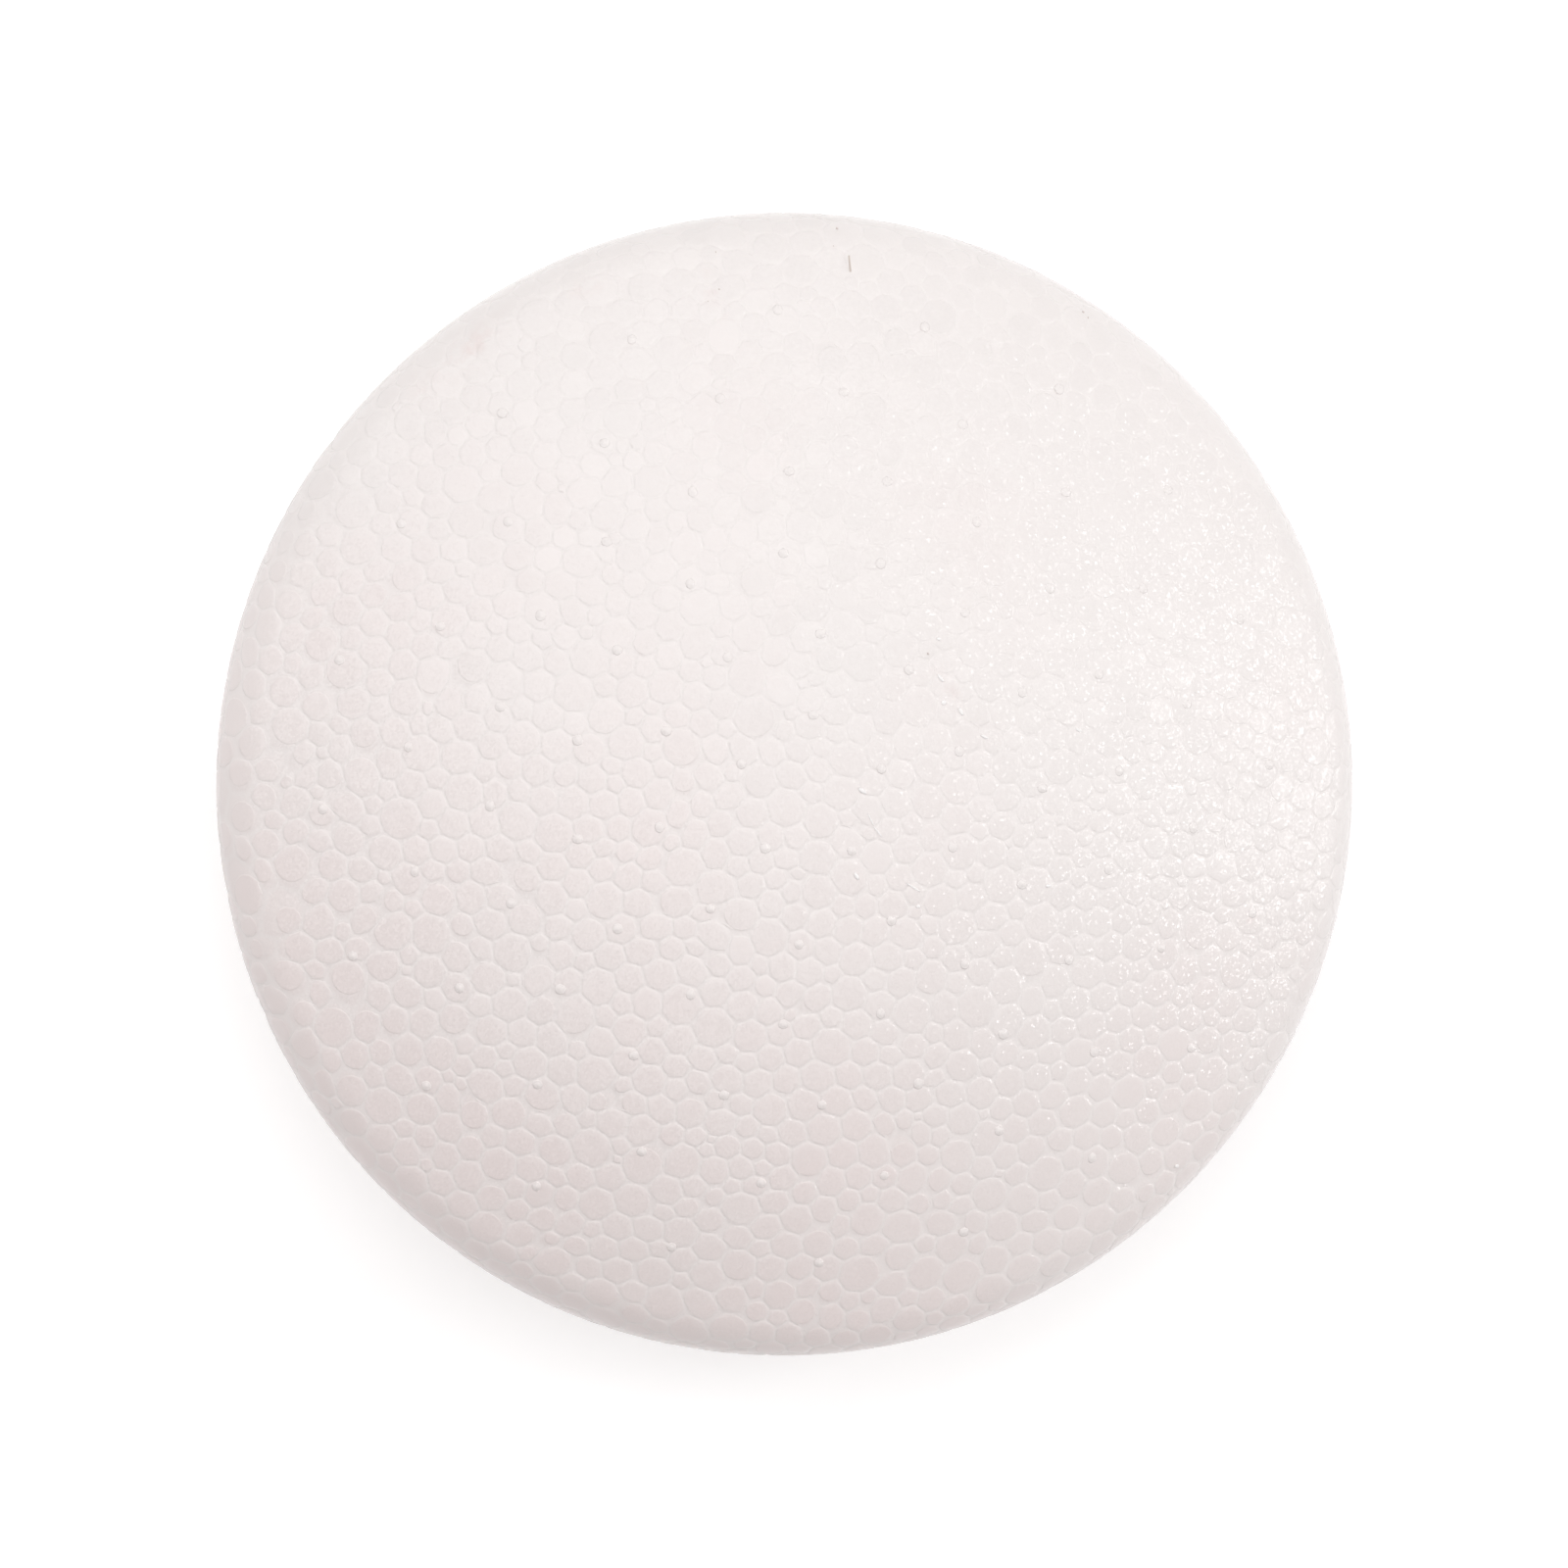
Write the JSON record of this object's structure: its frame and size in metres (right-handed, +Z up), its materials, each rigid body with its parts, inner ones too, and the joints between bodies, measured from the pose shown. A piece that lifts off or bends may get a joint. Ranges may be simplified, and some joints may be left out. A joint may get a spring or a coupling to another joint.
{
  "type": "foam medallion",
  "caption": "Round craft blank moulded from bead foam, with two domed faces that meet in a rounded rim, for painting, covering or gluing.",
  "frame": {"origin": "under the centre of the medallion, on the flat of its lower crown", "axes": "+Z up along the axis of the lens, from the lower crown to the upper crown; X and Y span the disc"},
  "size_m": [0.1, 0.1, 0.034],
  "materials": {
    "foam": "moulded expanded polystyrene: off-white fused beads with a soft satin skin"
  },
  "bodies": {
    "root": {"foam_body": "foam"}
  },
  "joints": []
}
